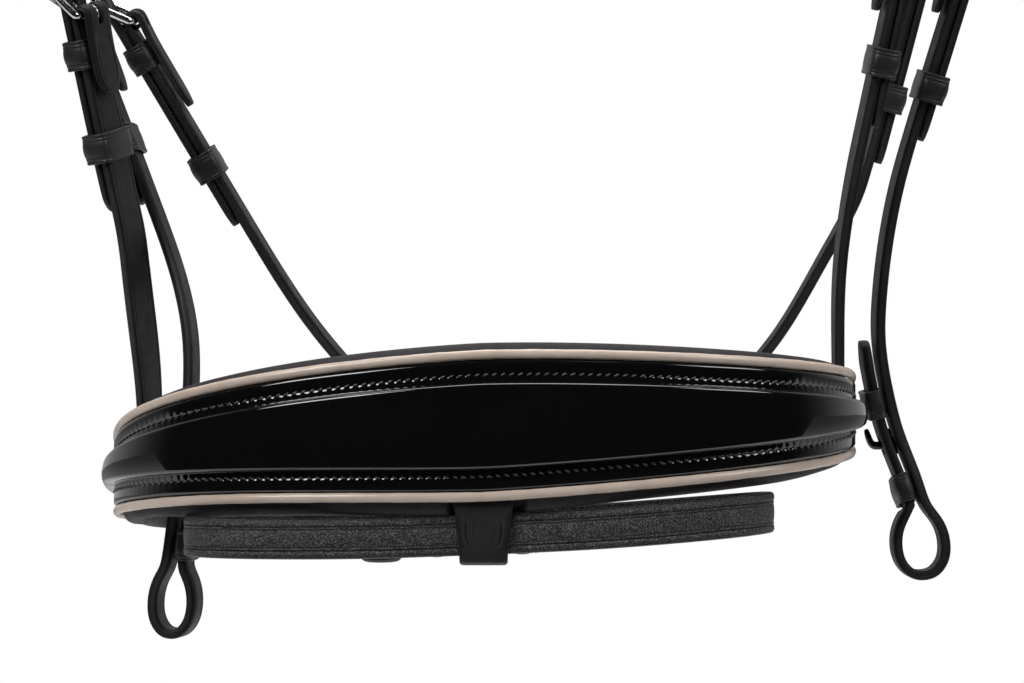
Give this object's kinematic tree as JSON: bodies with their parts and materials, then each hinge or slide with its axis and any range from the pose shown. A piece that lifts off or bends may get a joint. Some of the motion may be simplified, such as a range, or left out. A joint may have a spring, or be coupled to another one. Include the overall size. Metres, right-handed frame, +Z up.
{
  "type": "horse bridle",
  "caption": "English leather bridle: padded crown, browband, buckled cheekpieces and throatlash, piped raised noseband and a flash strap, with open bit loops.",
  "frame": {"origin": "middle of the crown pad's underside, where the bridle rests on the horse's poll", "axes": "+Z up, -Y the way the horse's face looks, +X to the right of the picture"},
  "size_m": [0.3005, 0.2051, 0.3825],
  "materials": {
    "black_leather": "black bridle leather, satin, bevelled edges",
    "patent_leather": "black patent, high gloss",
    "cream_piping": "cream, semi-matte",
    "soft_lining": "soft black lining, matte, pebbled",
    "stainless_steel": "polished steel"
  },
  "bodies": {
    "bridle": {"headpiece": "black_leather", "sliphead": "black_leather", "crown_pad": "soft_lining", "cheekpiece_left": "black_leather", "cheekpiece_right": "black_leather", "hook_stud_left": "stainless_steel", "hook_stud_right": "stainless_steel", "bit_keeper_low_left": "black_leather", "bit_keeper_high_left": "black_leather", "bit_keeper_low_right": "black_leather", "bit_keeper_high_right": "black_leather", "throatlash": "black_leather", "hanger_left": "black_leather", "hanger_right": "black_leather", "noseband_facing": "patent_leather", "noseband_raised_centre": "patent_leather", "noseband_piping_upper": "cream_piping", "noseband_piping_lower": "cream_piping", "noseband_chape": "black_leather", "noseband_chin_strap": "black_leather", "noseband_lining": "soft_lining", "flash_loop": "black_leather", "hanger_buckle_left_frame": "stainless_steel", "hanger_buckle_left_keeper": "black_leather", "hanger_buckle_right_frame": "stainless_steel", "hanger_buckle_right_keeper": "black_leather", "cheek_buckle_left_frame": "stainless_steel", "cheek_buckle_left_keeper": "black_leather", "cheek_buckle_right_frame": "stainless_steel", "cheek_buckle_right_keeper": "black_leather", "throat_buckle_left_frame": "stainless_steel", "throat_buckle_left_keeper": "black_leather", "throat_buckle_right_frame": "stainless_steel", "throat_buckle_right_keeper": "black_leather", "chin_buckle_frame": "stainless_steel", "chin_buckle_keeper": "black_leather"},
    "browband": {"browband": "black_leather"},
    "flash_ring": {"flash_strap": "black_leather", "flash_buckle_frame": "stainless_steel", "flash_buckle_keeper": "black_leather"},
    "hanger_left_tongue": {"hanger_buckle_left_tongue": "stainless_steel"},
    "hanger_left_runner": {"hanger_buckle_left_runner": "black_leather"},
    "hanger_right_tongue": {"hanger_buckle_right_tongue": "stainless_steel"},
    "hanger_right_runner": {"hanger_buckle_right_runner": "black_leather"},
    "cheek_left_tongue": {"cheek_buckle_left_tongue": "stainless_steel"},
    "cheek_left_runner": {"cheek_buckle_left_runner": "black_leather"},
    "cheek_right_tongue": {"cheek_buckle_right_tongue": "stainless_steel"},
    "cheek_right_runner": {"cheek_buckle_right_runner": "black_leather"},
    "throat_left_tongue": {"throat_buckle_left_tongue": "stainless_steel"},
    "throat_left_runner": {"throat_buckle_left_runner": "black_leather"},
    "throat_right_tongue": {"throat_buckle_right_tongue": "stainless_steel"},
    "throat_right_runner": {"throat_buckle_right_runner": "black_leather"},
    "chin_tongue": {"chin_buckle_tongue": "stainless_steel"},
    "chin_runner": {"chin_buckle_runner": "black_leather"},
    "flash_tongue": {"flash_buckle_tongue": "stainless_steel"},
    "flash_runner": {"flash_buckle_runner": "black_leather"}
  },
  "joints": [
    {"name": "browband_slide", "type": "slide", "parent": "bridle", "child": "browband", "axis": [0, 0, 1], "range_m": [-0.004, 0.004]},
    {"name": "flash_ring_slide", "type": "slide", "parent": "bridle", "child": "flash_ring", "axis": [1, 0, 0], "range_m": [-0.004, 0.004]},
    {"name": "hanger_left_tongue_hinge", "type": "hinge", "parent": "bridle", "child": "hanger_left_tongue", "pos_m": [-0.12678, -0.04111, -0.18139], "axis": [-0.4136, -0.887, -0.2054], "range_deg": [0, 12]},
    {"name": "hanger_left_runner_slide", "type": "slide", "parent": "bridle", "child": "hanger_left_runner", "axis": [-0.2004, -0.1314, 0.9709], "range_m": [-0.006, 0.008]},
    {"name": "hanger_right_tongue_hinge", "type": "hinge", "parent": "bridle", "child": "hanger_right_tongue", "pos_m": [0.11676, -0.03027, -0.15532], "axis": [-0.0866, 0.9896, 0.1145], "range_deg": [0, 12]},
    {"name": "hanger_right_runner_slide", "type": "slide", "parent": "bridle", "child": "hanger_right_runner", "axis": [0.204, -0.0949, 0.9744], "range_m": [-0.006, 0.008]},
    {"name": "cheek_left_tongue_hinge", "type": "hinge", "parent": "bridle", "child": "cheek_left_tongue", "pos_m": [-0.12988, -0.00525, -0.17979], "axis": [-0.1218, -0.992, 0.0346], "range_deg": [0, 12]},
    {"name": "cheek_left_runner_slide", "type": "slide", "parent": "bridle", "child": "cheek_left_runner", "axis": [-0.3571, 0.0763, 0.9309], "range_m": [-0.006, 0.008]},
    {"name": "cheek_right_tongue_hinge", "type": "hinge", "parent": "bridle", "child": "cheek_right_tongue", "pos_m": [0.13841, -0.01524, -0.1555], "axis": [-0.0694, 0.9926, 0.0994], "range_deg": [0, 12]},
    {"name": "cheek_right_runner_slide", "type": "slide", "parent": "bridle", "child": "cheek_right_runner", "axis": [0.2881, -0.0754, 0.9546], "range_m": [-0.006, 0.008]},
    {"name": "throat_left_tongue_hinge", "type": "hinge", "parent": "bridle", "child": "throat_left_tongue", "pos_m": [-0.11885, 0.02463, -0.17858], "axis": [-0.0687, -0.9822, -0.1751], "range_deg": [0, 12]},
    {"name": "throat_left_runner_slide", "type": "slide", "parent": "bridle", "child": "throat_left_runner", "axis": [-0.505, -0.1171, 0.8551], "range_m": [-0.012, 0.012]},
    {"name": "throat_right_tongue_hinge", "type": "hinge", "parent": "bridle", "child": "throat_right_tongue", "pos_m": [0.12828, 0.02478, -0.15269], "axis": [-0.0695, 0.9938, 0.0865], "range_deg": [0, 12]},
    {"name": "throat_right_runner_slide", "type": "slide", "parent": "bridle", "child": "throat_right_runner", "axis": [0.2483, -0.0667, 0.9664], "range_m": [-0.012, 0.012]},
    {"name": "chin_tongue_hinge", "type": "hinge", "parent": "bridle", "child": "chin_tongue", "pos_m": [-0.004, 0.0467, -0.3194], "axis": [-0.1386, 0, 0.9903], "range_deg": [0, 12]},
    {"name": "chin_runner_slide", "type": "slide", "parent": "bridle", "child": "chin_runner", "axis": [0.9903, 0, 0.1386], "range_m": [-0.006, 0.008]},
    {"name": "flash_tongue_hinge", "type": "hinge", "parent": "flash_ring", "child": "flash_tongue", "pos_m": [-0.034, -0.0444, -0.33738], "axis": [0.0418, 0, -0.9991], "range_deg": [0, 12]},
    {"name": "flash_runner_slide", "type": "slide", "parent": "flash_ring", "child": "flash_runner", "axis": [-0.9991, 0, -0.0418], "range_m": [-0.006, 0.008]}
  ]
}
